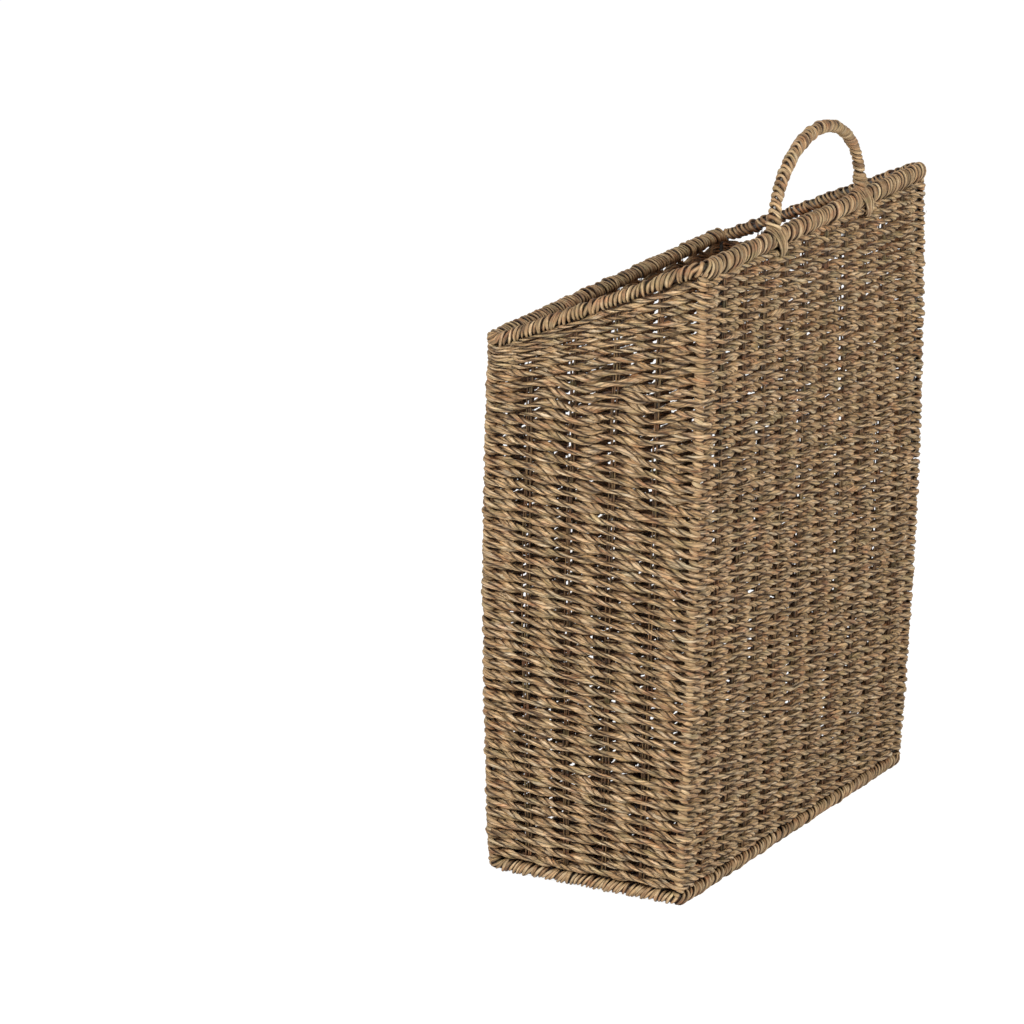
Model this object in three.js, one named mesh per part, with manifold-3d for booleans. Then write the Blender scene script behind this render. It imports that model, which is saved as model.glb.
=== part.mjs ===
// Magazine basket of twined seagrass on a wire frame. Lengths are millimetres, +Z is up.
// The low front wall is at -Y, the tall back wall with the handle is at +Y, and the origin
// is on the ground under the middle of the footprint.

import * as THREE from 'three';
import * as BufferGeometryUtils from 'three/addons/utils/BufferGeometryUtils.js';
import Module from 'manifold-3d';

const wasm = await Module();
wasm.setup();

// Driving sizes: the wall's middle surface, which the frame wires and the stakes lie on
const baseWidth = 372;
const baseDepth = 156;
const rimWidth = 357;
const rimDepth = 168;
const backHeight = 475;
const frontHeight = 403;
const cornerRadius = 10;
const wallBulge = 4;
const bulgeShares = [0, 0.75, 1, 0.75, 0];

// Wire frame
const wireRadius = 2;
const weldGap = 0.3;
const wireSides = 8;
const cornerSteps = 3;

// Handle: half an ellipse in the back wall's plane, on short legs that end at the rim wire
const handleSpan = 144;
const handleLeg = 9;
const handleArch = 59;
const handleArchSteps = 16;
const handleWrapRadius = 4.4;
const handleWrapRibs = 32;

// Strands wound round the wires, as ribbed sleeves
const wrapRadius = 5.5;
const backWrapHalfHeight = 7.5;
const wrapGrowthPower = 3;
const wrapClearance = 0.3;
const wrapRibPitch = 28;
const ribDepth = 0.5;
const wrapSides = 8;
const baseInset = 1.5;

// Lashing at each foot of the handle
const lashingRadius = 1.2;
const lashingGap = 0.5;
const lashingLoops = 5;
const loopSteps = 12;
const lashingSides = 5;

// Stakes: upright strands that the rows are twined round
const stakeRadius = 2;
const stakeSpacing = 34;
const stakeSides = 5;

// Rows: one cord runs outside the stakes and one inside, from the base to the rim
const rowPitch = 7.6;
const rowGap = 0.5;
const rowThickness = 4.4;
const rowClearance = 0.5;
const stepUpLength = 34;
const fanPower = 3;
const edgeShare = 0.7;
const shoulderShare = 0.6;

// Woven floor
const floorRowThickness = 3.2;

// Shares of a corner's radius and of a circle's octagon that follow from their geometry
const chamferShare = 2 - Math.SQRT2;
const octagonShare = 1 / Math.cos(Math.PI / wrapSides);

// The base wire lies one wrap radius above the ground
const baseLevel = wrapRadius;

// The rim slopes along the side walls, so what lies under it keeps off by more than its thickness
const rimSlope = (backHeight - frontHeight) / (rimDepth - 2 * cornerRadius);
const slopeShare = Math.hypot(1, rimSlope);
const up = new THREE.Vector3(0, 0, 1);

const seagrass = new THREE.MeshStandardMaterial({ color: '#a08862', roughness: 0.85, metalness: 0 });
const stakeGrass = new THREE.MeshStandardMaterial({ color: '#7d6345', roughness: 0.9, metalness: 0 });
const wrapGrass = new THREE.MeshStandardMaterial({ color: '#b09a74', roughness: 0.8, metalness: 0 });
const frameSteel = new THREE.MeshStandardMaterial({ color: '#4b4642', roughness: 0.5, metalness: 0.9 });

// Share of the way from the base wire to the rim wire at the back
function levelShare(z) {
  return (z - baseLevel) / (backHeight - baseLevel);
}

function levelAt(share) {
  return THREE.MathUtils.lerp(baseLevel, backHeight, share);
}

// The walls swell between straight steps, widest half-way up
function bulgeAt(share) {
  const steps = bulgeShares.length - 1;
  const step = THREE.MathUtils.clamp(Math.floor(share * steps), 0, steps - 1);
  return wallBulge * THREE.MathUtils.lerp(bulgeShares[step], bulgeShares[step + 1], share * steps - step);
}

function halfWidthAt(z) {
  const share = levelShare(z);
  return THREE.MathUtils.lerp(baseWidth, rimWidth, share) / 2 + bulgeAt(share);
}

function halfDepthAt(z) {
  const share = levelShare(z);
  return THREE.MathUtils.lerp(baseDepth, rimDepth, share) / 2 + bulgeAt(share);
}

// Share of the way from the front corner to the back corner along a side wall
function depthShare(y) {
  const reach = rimDepth / 2 - cornerRadius;
  return THREE.MathUtils.clamp((y + reach) / (2 * reach), 0, 1);
}

function rimHeightAt(y) {
  return THREE.MathUtils.lerp(frontHeight, backHeight, depthShare(y));
}

// The rim's wrap is taller along the back wall
function wrapHalfHeightAt(y) {
  return THREE.MathUtils.lerp(wrapRadius, backWrapHalfHeight, depthShare(y) ** wrapGrowthPower);
}

// A geometry with its faces out, from points and triangles
function closedGeometry(positions, indices) {
  const corner = (index) => new THREE.Vector3().fromArray(positions, 3 * indices[index]);
  let volume = 0;
  for (let index = 0; index < indices.length; index += 3) {
    volume += corner(index).dot(corner(index + 1).cross(corner(index + 2)));
  }
  const geometry = new THREE.BufferGeometry();
  geometry.setAttribute('position', new THREE.Float32BufferAttribute(positions, 3));
  geometry.setIndex(volume > 0 ? indices : indices.reverse());
  return geometry;
}

// One closed skin through rings of points, with flat caps where the path has ends
function skin(rings, isLoop) {
  const sides = rings[0].length;
  const positions = rings.flat().flatMap((point) => point.toArray());
  const indices = [];
  const spans = isLoop ? rings.length : rings.length - 1;
  for (let span = 0; span < spans; span += 1) {
    const here = span * sides;
    const there = ((span + 1) % rings.length) * sides;
    for (let side = 0; side < sides; side += 1) {
      const next = (side + 1) % sides;
      indices.push(here + side, here + next, there + next);
      indices.push(here + side, there + next, there + side);
    }
  }
  if (!isLoop) {
    const last = (rings.length - 1) * sides;
    for (let side = 1; side < sides - 1; side += 1) {
      indices.push(0, side + 1, side);
      indices.push(last, last + side, last + side + 1);
    }
  }
  return closedGeometry(positions, indices);
}

// Directions across a path at each of its points: the fixed hint leads to the first one
function crossFrames(points, isLoop, hint) {
  return points.map((point, index) => {
    const before = isLoop ? (index + points.length - 1) % points.length : Math.max(index - 1, 0);
    const after = isLoop ? (index + 1) % points.length : Math.min(index + 1, points.length - 1);
    const along = points[after].clone().sub(points[before]).normalize();
    const across = along.clone().cross(hint).normalize();
    return { across, above: across.clone().cross(along) };
  });
}

// A swept round or oval piece: sizeAt gives half its width and half its height at a point
function sweep(points, isLoop, hint, sides, sizeAt) {
  const frames = crossFrames(points, isLoop, hint);
  const rings = points.map((point, index) => {
    const { width, height, floor } = sizeAt(point, index);
    return Array.from({ length: sides }, (unused, side) => {
      const angle = ((side + 0.5) / sides) * 2 * Math.PI;
      const { across, above } = frames[index];
      const ring = point.clone().addScaledVector(across, width * Math.cos(angle));
      ring.addScaledVector(above, height * Math.sin(angle));
      const isUnderside = floor !== undefined && Math.sin(angle) * Math.SQRT2 < -1;
      return isUnderside ? ring.setZ(floor) : ring;
    });
  });
  return skin(rings, isLoop);
}

function roundSize(radius) {
  return () => ({ width: radius, height: radius });
}

function toSolid(geometry) {
  const merged = geometry.clone();
  merged.deleteAttribute('normal');
  merged.deleteAttribute('uv');
  const welded = BufferGeometryUtils.mergeVertices(merged);
  return new wasm.Manifold(new wasm.Mesh({
    numProp: 3,
    vertProperties: new Float32Array(welded.attributes.position.array),
    triVerts: new Uint32Array(welded.index.array),
  }));
}

function fromSolid(solid) {
  const mesh = solid.getMesh();
  const geometry = new THREE.BufferGeometry();
  geometry.setAttribute('position', new THREE.Float32BufferAttribute(Array.from(mesh.vertProperties), 3));
  geometry.setIndex(Array.from(mesh.triVerts));
  return geometry;
}

function cutFrom(geometry, cutters) {
  const solid = cutters.reduce((rest, cutter) => rest.subtract(toSolid(cutter)), toSolid(geometry));
  return fromSolid(solid);
}

// The four corners of the plan, counterclockwise from the front right one
const corners = [
  { x: 1, y: -1, turn: -0.5 * Math.PI },
  { x: 1, y: 1, turn: 0 },
  { x: -1, y: 1, turn: 0.5 * Math.PI },
  { x: -1, y: -1, turn: Math.PI },
];

// A loop round the plan with rounded corners, ribs on its straight stretches if they are asked for
function planLoop(heightAt, inset, withRibs) {
  const arcs = corners.map(({ x, y, turn }) => {
    const height = heightAt(y);
    const centre = new THREE.Vector3(
      x * (halfWidthAt(height) - cornerRadius),
      y * (halfDepthAt(height) - cornerRadius),
      height,
    );
    return Array.from({ length: cornerSteps + 1 }, (unused, step) => {
      const angle = turn + (step / cornerSteps) * 0.5 * Math.PI;
      const reach = cornerRadius - inset;
      return centre.clone().add(new THREE.Vector3(reach * Math.cos(angle), reach * Math.sin(angle), 0));
    });
  });
  if (!withRibs) return arcs.flat();
  return arcs.flatMap((arc, index) => {
    const start = arc[arc.length - 1];
    const end = arcs[(index + 1) % arcs.length][0];
    const count = 2 * Math.round(start.distanceTo(end) / wrapRibPitch);
    const between = Array.from({ length: count }, (unused, step) => (
      start.clone().lerp(end, (step + 1) / (count + 1))
    ));
    return [...arc, ...between];
  });
}

function rimLevel(side) {
  return side < 0 ? frontHeight : backHeight;
}

function ringLevel() {
  return baseLevel;
}

function ribDepthAt(index) {
  return index % 2 ? ribDepth : 0;
}

// A rod that follows the wall, at shares of its half width and half depth
function wallRod(widthShare, depthShareOfWall, bottom, top, radius, sides) {
  const knots = bulgeShares.map((unused, step) => levelAt(step / (bulgeShares.length - 1)));
  const levels = [bottom, ...knots.filter((knot) => knot > bottom && knot < top), top];
  const rings = levels.map((z) => {
    const centre = placeOnWall(widthShare, depthShareOfWall, z);
    return Array.from({ length: sides }, (unused, side) => {
      const angle = (side / sides) * 2 * Math.PI;
      return centre.clone().add(new THREE.Vector3(radius * Math.cos(angle), radius * Math.sin(angle), 0));
    });
  });
  return skin(rings, false);
}

// Corner places have both shares at 1 or -1 and lie in the middle of the corner's arc
function placeOnWall(widthShare, depthShareOfWall, z) {
  const isCorner = Math.abs(widthShare) === 1 && Math.abs(depthShareOfWall) === 1;
  const inset = isCorner ? cornerRadius * (1 - Math.SQRT1_2) : 0;
  return new THREE.Vector3(
    widthShare * (halfWidthAt(z) - inset),
    depthShareOfWall * (halfDepthAt(z) - inset),
    z,
  );
}

// Wire frame: rim and base loops, four corner posts and the handle's arch
function rimWire() {
  return sweep(planLoop(rimLevel, 0, false), true, up, wireSides, roundSize(wireRadius));
}

function baseWire() {
  return sweep(planLoop(ringLevel, baseInset, false), true, up, wireSides, roundSize(wireRadius));
}

function cornerPost(corner, clearance) {
  const bottom = baseLevel + (clearance ? 0 : wireRadius + weldGap);
  const top = rimLevel(corner.y) - (clearance ? 0 : wireRadius + weldGap);
  return wallRod(corner.x, corner.y, bottom, top, wireRadius + clearance, wireSides);
}

function handlePath(footHeight) {
  const y = halfDepthAt(backHeight);
  const springing = backHeight + handleLeg;
  const arch = Array.from({ length: handleArchSteps + 1 }, (unused, step) => {
    const angle = Math.PI * (1 - step / handleArchSteps);
    const x = (handleSpan / 2) * Math.cos(angle);
    return new THREE.Vector3(x, y, springing + handleArch * Math.sin(angle));
  });
  const foot = (side) => new THREE.Vector3((side * handleSpan) / 2, y, footHeight);
  return [foot(-1), ...arch, foot(1)];
}

// The middle of the handle at one height, on the side given by -1 or 1
function handleMiddleAt(side, z) {
  const path = handlePath(backHeight);
  const leg = side < 0 ? path : path.reverse();
  const next = leg.findIndex((point) => point.z > z);
  const share = (z - leg[next - 1].z) / (leg[next].z - leg[next - 1].z);
  return leg[next - 1].clone().lerp(leg[next], share);
}

const handleHint = new THREE.Vector3(0, 1, 0);

function handleWire() {
  const path = handlePath(backHeight + wireRadius + weldGap);
  return sweep(path, false, handleHint, wireSides, roundSize(wireRadius));
}

// The handle's sleeve has a rib at every second ring along its legs and arch
function handleWrap() {
  const path = handlePath(backHeight + backWrapHalfHeight + wrapClearance);
  const curve = new THREE.CurvePath();
  path.slice(1).forEach((point, index) => curve.add(new THREE.LineCurve3(path[index], point)));
  const rings = curve.getSpacedPoints(2 * handleWrapRibs);
  const outside = sweep(rings, false, handleHint, wrapSides, (point, index) => {
    const size = (handleWrapRadius - ribDepthAt(index)) * octagonShare;
    return { width: size, height: size };
  });
  const bore = sweep(handlePath(backHeight), false, handleHint, wireSides, roundSize(wireRadius + wrapClearance));
  return cutFrom(outside, [bore]);
}

// The rim's sleeve has a bore for the wire, and holes where the posts and the handle's legs pass
function rimWrap() {
  const outside = sweep(planLoop(rimLevel, 0, true), true, up, wrapSides, (point, index) => ({
    width: (wrapRadius - ribDepthAt(index)) * octagonShare,
    height: (wrapHalfHeightAt(point.y) - ribDepthAt(index)) * octagonShare,
  }));
  const boreRadius = wireRadius + wrapClearance;
  const bore = sweep(planLoop(rimLevel, 0, false), true, up, wireSides, roundSize(boreRadius));
  const legs = sweep(handlePath(backHeight), false, handleHint, wireSides, roundSize(boreRadius));
  return cutFrom(outside, [bore, legs, ...corners.map((corner) => cornerPost(corner, wrapClearance))]);
}

// The base's sleeve is flat underneath, where the basket stands
function baseWrap() {
  const outside = sweep(planLoop(ringLevel, baseInset, true), true, up, wrapSides, (point, index) => {
    const size = (wrapRadius - ribDepthAt(index)) * octagonShare;
    return { width: size, height: size, floor: 0 };
  });
  const boreRadius = wireRadius + wrapClearance;
  const bore = sweep(planLoop(ringLevel, baseInset, false), true, up, wireSides, roundSize(boreRadius));
  return cutFrom(outside, [bore, ...corners.map((corner) => cornerPost(corner, wrapClearance))]);
}

// The least gap between passes of one cord, measured between its points
function leastGap(points, pointsPerPass, size) {
  let least = Infinity;
  points.forEach((point, index) => {
    points.slice(index + pointsPerPass - 1, index + pointsPerPass + 2).forEach((other) => {
      least = Math.min(least, point.distanceTo(other) - size);
    });
  });
  return least;
}

// The same between the rings of two neighbouring rows
function leastRingGap(rings, ringsPerTurn) {
  const gaps = rings.slice(ringsPerTurn).map((ring, index) => {
    const below = rings[index];
    return Math.min(...ring.flatMap((point) => below.map((other) => point.distanceTo(other))));
  });
  return Math.min(...gaps);
}

// A lashing winds round the handle's foot just above the rim and ends in two straight tails
function lashing(side) {
  const loopRadius = (handleWrapRadius * octagonShare + wrapClearance + lashingRadius)
    / Math.cos(Math.PI / loopSteps);
  const pitch = 2 * lashingRadius + lashingGap;
  const bottom = backHeight + backWrapHalfHeight + wrapClearance + lashingRadius;
  const points = Array.from({ length: lashingLoops * loopSteps + 1 }, (unused, step) => {
    const angle = (step / loopSteps) * 2 * Math.PI;
    const around = new THREE.Vector3(loopRadius * Math.cos(angle), loopRadius * Math.sin(angle), 0);
    return handleMiddleAt(side, bottom + (pitch * step) / loopSteps).add(around);
  });
  console.log('lashing least gap', leastGap(points, loopSteps, 2 * lashingRadius).toFixed(2));
  const tail = new THREE.Vector3(0, 2 * lashingRadius, 0);
  const path = [points[0].clone().sub(tail), ...points, points[points.length - 1].clone().add(tail)];
  return sweep(path, false, up, lashingSides, roundSize(lashingRadius));
}

// Rows rise evenly at the back and crowd together under the lower rim at the front, where the
// outer row turns its corner a little before the rim starts to climb
function rowHeightAt(rowShare, y) {
  const bottom = 2 * baseLevel + wrapClearance;
  const top = backHeight - backWrapHalfHeight * slopeShare - wrapClearance;
  const rowReach = stakeRadius + rowClearance + rowThickness;
  const overrun = cornerRadius + rowReach - chamferShare * (cornerRadius + rowReach);
  const frontTop = frontHeight - wrapRadius * slopeShare - wrapClearance - rimSlope * overrun;
  const drop = (top - frontTop) * (1 - depthShare(y)) * rowShare ** fanPower;
  return THREE.MathUtils.lerp(bottom, top, rowShare) - drop;
}

const rowCount = Math.round((backHeight - 3 * baseLevel) / rowPitch);

// A point of the chamfered plan, which keeps its distance from the corner posts
function rowPlace({ corner, isOnSideWall, stepUp }, distance, z) {
  const chamfer = chamferShare * (cornerRadius + distance);
  const x = halfWidthAt(z) + distance - (isOnSideWall ? 0 : chamfer + stepUp);
  const y = halfDepthAt(z) + distance - (isOnSideWall ? chamfer : 0);
  return new THREE.Vector3(corner.x * x, corner.y * y, z);
}

// A cord that runs level round all four walls and steps up to its next row on the front wall,
// beside the left corner: side is 1 outside the stakes and -1 inside them
function row(side) {
  const near = stakeRadius + rowClearance;
  const far = near + rowThickness;
  const shoulder = near + rowThickness * shoulderShare;
  const section = side > 0
    ? [[near, -edgeShare], [shoulder, -1], [far, 0], [shoulder, 1], [near, edgeShare]]
    : [[near, -edgeShare], [shoulder, -1], [far, 0], [near, edgeShare]];
  const turns = corners.flatMap((corner) => {
    const comesFromSideWall = corner.x === corner.y;
    return [
      { corner, isOnSideWall: comesFromSideWall, stepUp: 0 },
      { corner, isOnSideWall: !comesFromSideWall, stepUp: 0 },
    ];
  });
  turns.unshift({ corner: corners[3], isOnSideWall: false, stepUp: stepUpLength });
  const rings = Array.from({ length: rowCount * turns.length }, (unused, step) => {
    const turn = turns[step % turns.length];
    const bottomShare = Math.floor(step / turns.length) / rowCount;
    const edge = turn.corner.y * (rimDepth / 2);
    const bottom = rowHeightAt(bottomShare, edge) + rowGap / 2;
    const top = rowHeightAt(bottomShare + 1 / rowCount, edge) - rowGap / 2;
    return section.map(([distance, lift]) => (
      rowPlace(turn, side * distance, THREE.MathUtils.lerp(bottom, top, (1 + lift) / 2))
    ));
  });
  console.log('row least gap', leastRingGap(rings, turns.length).toFixed(2));
  return skin(rings, false);
}

// The floor's cord goes to and fro along the width, level above or below the floor's stakes
function floorRow(side) {
  const halfLength = halfWidthAt(baseLevel) - baseInset - wrapRadius * octagonShare - rowClearance;
  const halfDepth = halfDepthAt(baseLevel) - baseInset - wrapRadius * octagonShare - rowClearance;
  const count = Math.floor((2 * halfDepth) / rowPitch);
  const pitch = (2 * halfDepth) / count;
  const width = (pitch - rowGap) / 2;
  const level = baseLevel + side * (stakeRadius + wrapClearance + floorRowThickness / 2);
  const reach = halfLength - pitch / 2 - width;
  const points = Array.from({ length: count }, (unused, index) => {
    const y = (index + 0.5) * pitch - halfDepth;
    const direction = index % 2 ? -1 : 1;
    const line = [new THREE.Vector3(-direction * reach, y, level), new THREE.Vector3(direction * reach, y, level)];
    const turn = new THREE.Vector3(direction * (reach + pitch / 2), y + pitch / 2, level);
    return index < count - 1 ? [...line, turn] : line;
  }).flat();
  const frames = crossFrames(points, false, up);
  const rings = points.map((point, index) => [[-1, 0], [0, -1], [1, 0], [0, 1]].map(([across, lift]) => (
    point.clone().addScaledVector(frames[index].across, across * width)
      .addScaledVector(up, (lift * floorRowThickness) / 2)
  )));
  return skin(rings, false);
}

function floorStake(x) {
  const half = halfDepthAt(baseLevel) - baseInset - wrapRadius * octagonShare - wrapClearance;
  const path = [new THREE.Vector3(x, -half, baseLevel), new THREE.Vector3(x, half, baseLevel)];
  return sweep(path, false, up, stakeSides, roundSize(stakeRadius));
}

// Places of the stakes along a wall, as shares of its half length
function stakeShares(length) {
  const gaps = Math.round(length / stakeSpacing);
  return Array.from({ length: gaps - 1 }, (unused, index) => (2 * (index + 1)) / gaps - 1);
}

function wallStake(widthShare, depthShareOfWall) {
  const bottom = 2 * baseLevel + wrapClearance;
  const y = depthShareOfWall * (rimDepth / 2);
  const isSide = Math.abs(widthShare) === 1;
  const wrap = wrapHalfHeightAt(y) * (isSide ? octagonShare * slopeShare : octagonShare);
  const sink = isSide ? stakeRadius * rimSlope : 0;
  const top = rimHeightAt(y) - wrap - sink - wrapClearance;
  return wallRod(widthShare, depthShareOfWall, bottom, top, stakeRadius, stakeSides);
}

const basket = new THREE.Group();

function addPiece(name, geometry, material) {
  const mesh = new THREE.Mesh(geometry, material);
  mesh.name = name;
  basket.add(mesh);
}

function addFrame() {
  addPiece('rim_wire', rimWire(), frameSteel);
  addPiece('base_wire', baseWire(), frameSteel);
  addPiece('handle_wire', handleWire(), frameSteel);
  corners.forEach((corner) => {
    const name = `${corner.y < 0 ? 'front' : 'back'}_${corner.x < 0 ? 'left' : 'right'}_post`;
    addPiece(name, cornerPost(corner, 0), frameSteel);
  });
}

function addStakes() {
  const across = stakeShares(baseWidth);
  across.forEach((share, index) => {
    addPiece(`back_stake_${index + 1}`, wallStake(share, 1), stakeGrass);
    addPiece(`front_stake_${index + 1}`, wallStake(share, -1), stakeGrass);
    addPiece(`floor_stake_${index + 1}`, floorStake(share * halfWidthAt(baseLevel)), stakeGrass);
  });
  stakeShares(baseDepth).forEach((share, index) => {
    addPiece(`left_stake_${index + 1}`, wallStake(-1, share), stakeGrass);
    addPiece(`right_stake_${index + 1}`, wallStake(1, share), stakeGrass);
  });
}

function addWeave() {
  addPiece('outer_row_cord', row(1), seagrass);
  addPiece('inner_row_cord', row(-1), seagrass);
  addPiece('floor_upper_cord', floorRow(1), seagrass);
  addPiece('floor_lower_cord', floorRow(-1), seagrass);
}

function addWraps() {
  addPiece('rim_wrap', rimWrap(), wrapGrass);
  addPiece('base_wrap', baseWrap(), wrapGrass);
  addPiece('handle_wrap', handleWrap(), wrapGrass);
  addPiece('left_handle_lashing', lashing(-1), wrapGrass);
  addPiece('right_handle_lashing', lashing(1), wrapGrass);
}

addFrame();
addStakes();
addWeave();
addWraps();

export default basket;
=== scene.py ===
# Magazine basket of twined seagrass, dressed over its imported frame. Lengths are metres.
import math

import bmesh
import bpy
import numpy as np
from mathutils import Matrix, Vector


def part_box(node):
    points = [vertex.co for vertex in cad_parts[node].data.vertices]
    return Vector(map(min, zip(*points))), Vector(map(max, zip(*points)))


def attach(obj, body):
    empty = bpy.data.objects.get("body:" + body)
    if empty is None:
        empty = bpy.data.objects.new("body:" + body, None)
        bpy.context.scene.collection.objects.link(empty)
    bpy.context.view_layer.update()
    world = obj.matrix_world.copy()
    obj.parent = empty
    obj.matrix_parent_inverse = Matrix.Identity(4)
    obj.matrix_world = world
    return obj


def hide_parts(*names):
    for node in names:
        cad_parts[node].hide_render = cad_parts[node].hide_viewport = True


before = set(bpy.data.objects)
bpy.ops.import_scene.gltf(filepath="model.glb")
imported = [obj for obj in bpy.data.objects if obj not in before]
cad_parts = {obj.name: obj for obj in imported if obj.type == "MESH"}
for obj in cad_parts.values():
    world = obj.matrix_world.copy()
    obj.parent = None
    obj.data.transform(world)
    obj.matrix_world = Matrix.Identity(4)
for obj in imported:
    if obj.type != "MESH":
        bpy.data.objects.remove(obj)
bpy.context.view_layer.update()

MM = 0.001
SEED = 20

# The middle of the walls runs from just outside the base wire up to the rim wire, with a small bulge
WIRE_HALF = 1.85 * MM
BASE_INSET = 1.5 * MM
CORNER_RADIUS = 7 * MM
WALL_BULGE = 4 * MM
rim_low, rim_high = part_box("rim_wire")
foot_low, foot_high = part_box("base_wire")
RIM_HALF_WIDTH = rim_high.x - WIRE_HALF
RIM_HALF_DEPTH = rim_high.y - WIRE_HALF
BACK_HEIGHT = rim_high.z - WIRE_HALF
FRONT_HEIGHT = rim_low.z + WIRE_HALF
BASE_LEVEL = (foot_low.z + foot_high.z) / 2
BASE_HALF_WIDTH = foot_high.x - WIRE_HALF + BASE_INSET
BASE_HALF_DEPTH = foot_high.y - WIRE_HALF + BASE_INSET

# Rolls round the rim and the foot, half their thickness, and half the height of the rim's roll at the back
ROLL_RADIUS = 5.5 * MM
BACK_ROLL_HALF = 7.5 * MM

# Stakes between the corner posts of a wall
WIDE_STAKES = 10
SIDE_STAKES = 4

# Two-ply cord, and the points along one turn of its plies
CORD_RADIUS = 2.6 * MM
CORD_LAY = 24 * MM
STEPS_PER_LAY = 11
CORD_STEP = CORD_LAY / STEPS_PER_LAY


# Colours and materials

def linear(hex_colour):
    """A written sRGB colour as the linear colour that shaders take."""
    parts = [int(hex_colour[i:i + 2], 16) / 255 for i in (1, 3, 5)]
    return tuple(c / 12.92 if c <= 0.04045 else ((c + 0.055) / 1.055) ** 2.4 for c in parts) + (1.0,)


def add_node(tree, kind, settings=None, inputs=None, links=None):
    """A node with its settings, its input values and its incoming links."""
    node = tree.nodes.new(kind)
    for name, value in (settings or {}).items():
        setattr(node, name, value)
    for name, value in (inputs or {}).items():
        node.inputs[name].default_value = value
    for name, socket in (links or {}).items():
        tree.links.new(socket, node.inputs[name])
    return node


def new_material(name):
    material = bpy.data.materials.new(name)
    material.use_nodes = True
    tree = material.node_tree
    return material, tree, tree.nodes["Principled BSDF"]


def set_ramp(ramp, stops):
    """Colour stops of a ramp: share and written colour."""
    elements = ramp.color_ramp.elements
    while len(elements) < len(stops):
        elements.new(0.5)
    for element, (share, colour) in zip(elements, stops):
        element.position = share
        element.color = linear(colour)


RUSTY_LEAF = "#8f5836"
GREEN_LEAF = "#78734a"
# Painted shade: the brown that grass on and inside the inner face of a wall is multiplied by
INNER_SHADE_TINT = "#a2805a"
# Painted shade: the dark colour of the grooves between plies and between wound loops
GROOVE_SHADE = "#261407"
# Leaves wander sideways over this length
LEAF_DRIFT = 25 * MM
# How far apart neighbouring leaves of a strand take their tones
LEAF_STEP = 1.7
# Rusty and green patches take up about 20 mm of a row and 8 mm of height, which is about one row
PATCHES_PER_METRE = (48.0, 48.0, 125.0)
# Fibres about 1 mm apart round a strand and 13 mm long, coarser than the real ones so that they show
FIBRE_SCALE = (1.6, 1.6, 75.0)


def leaf_sides(tree, along, turn, leaves, back_twist):
    """The place round a strand, in turns and counted in leaves. In a cord the leaves turn back against its
    lay, so that they lie along it."""
    back = add_node(tree, "ShaderNodeMath", {"operation": "MULTIPLY_ADD"}, {1: back_twist},
                    {0: along, 2: turn})
    drift = add_node(tree, "ShaderNodeTexNoise", {"noise_dimensions": "1D"},
                     {"Scale": 1 / LEAF_DRIFT, "Detail": 1.0}, {"W": along})
    side = add_node(tree, "ShaderNodeMath", {"operation": "MULTIPLY_ADD"}, {1: float(leaves)},
                    {0: back.outputs[0], 2: drift.outputs["Fac"]})
    return back.outputs[0], side.outputs[0]


def leaf_tones(tree, along, side, leaves, leaf_length, tones):
    """Each leaf's own tone, which changes along it."""
    whole = add_node(tree, "ShaderNodeMath", {"operation": "FLOOR"}, links={0: side})
    index = add_node(tree, "ShaderNodeMath", {"operation": "FLOORED_MODULO"}, {1: float(leaves)},
                     {0: whole.outputs[0]})
    place = add_node(tree, "ShaderNodeCombineXYZ", links={"X": along, "Y": index.outputs[0]})
    leaf = add_node(tree, "ShaderNodeVectorMath", {"operation": "MULTIPLY"},
                    {1: (1 / leaf_length, LEAF_STEP, 1.0)}, {0: place.outputs[0]})
    tone = add_node(tree, "ShaderNodeTexNoise", {"noise_dimensions": "2D"},
                    {"Scale": 1.0, "Detail": 4.0, "Roughness": 0.72}, {"Vector": leaf.outputs[0]})
    tan = add_node(tree, "ShaderNodeValToRGB", links={"Fac": tone.outputs["Fac"]})
    set_ramp(tan, tones)
    return tan.outputs["Color"]


def dried_patches(tree, colour):
    """Some leaves dry rusty and some keep a trace of green."""
    place = add_node(tree, "ShaderNodeTexCoord")
    patch = add_node(tree, "ShaderNodeVectorMath", {"operation": "MULTIPLY"}, {1: PATCHES_PER_METRE},
                     {0: place.outputs["Object"]})
    hue = add_node(tree, "ShaderNodeTexNoise", {},
                   {"Scale": 1.0, "Detail": 3.0, "Roughness": 0.65}, {"Vector": patch.outputs[0]})
    rusty = add_node(tree, "ShaderNodeMapRange", {}, {"From Min": 0.53, "From Max": 0.7, "To Max": 0.5},
                     {"Value": hue.outputs["Fac"]})
    green = add_node(tree, "ShaderNodeMapRange", {}, {"From Min": 0.48, "From Max": 0.32, "To Max": 0.35},
                     {"Value": hue.outputs["Fac"]})
    warm = add_node(tree, "ShaderNodeMix", {"data_type": "RGBA"}, {7: linear(RUSTY_LEAF)},
                    {0: rusty.outputs[0], 6: colour})
    mixed = add_node(tree, "ShaderNodeMix", {"data_type": "RGBA"}, {7: linear(GREEN_LEAF)},
                     {0: green.outputs[0], 6: warm.outputs[2]})
    return mixed.outputs[2]


def leaf_fibres(tree, along, back):
    """Fibres that run along the leaves, closed round the strand."""
    angle = add_node(tree, "ShaderNodeMath", {"operation": "MULTIPLY"}, {1: 2 * math.pi}, {0: back})
    cosine = add_node(tree, "ShaderNodeMath", {"operation": "COSINE"}, links={0: angle.outputs[0]})
    sine = add_node(tree, "ShaderNodeMath", {"operation": "SINE"}, links={0: angle.outputs[0]})
    ring = add_node(tree, "ShaderNodeCombineXYZ",
                    links={"X": cosine.outputs[0], "Y": sine.outputs[0], "Z": along})
    fibre = add_node(tree, "ShaderNodeVectorMath", {"operation": "MULTIPLY"}, {1: FIBRE_SCALE},
                     {0: ring.outputs[0]})
    fibres = add_node(tree, "ShaderNodeTexNoise", {},
                      {"Scale": 1.0, "Detail": 2.0, "Roughness": 0.6}, {"Vector": fibre.outputs[0]})
    return fibres.outputs["Fac"]


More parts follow.
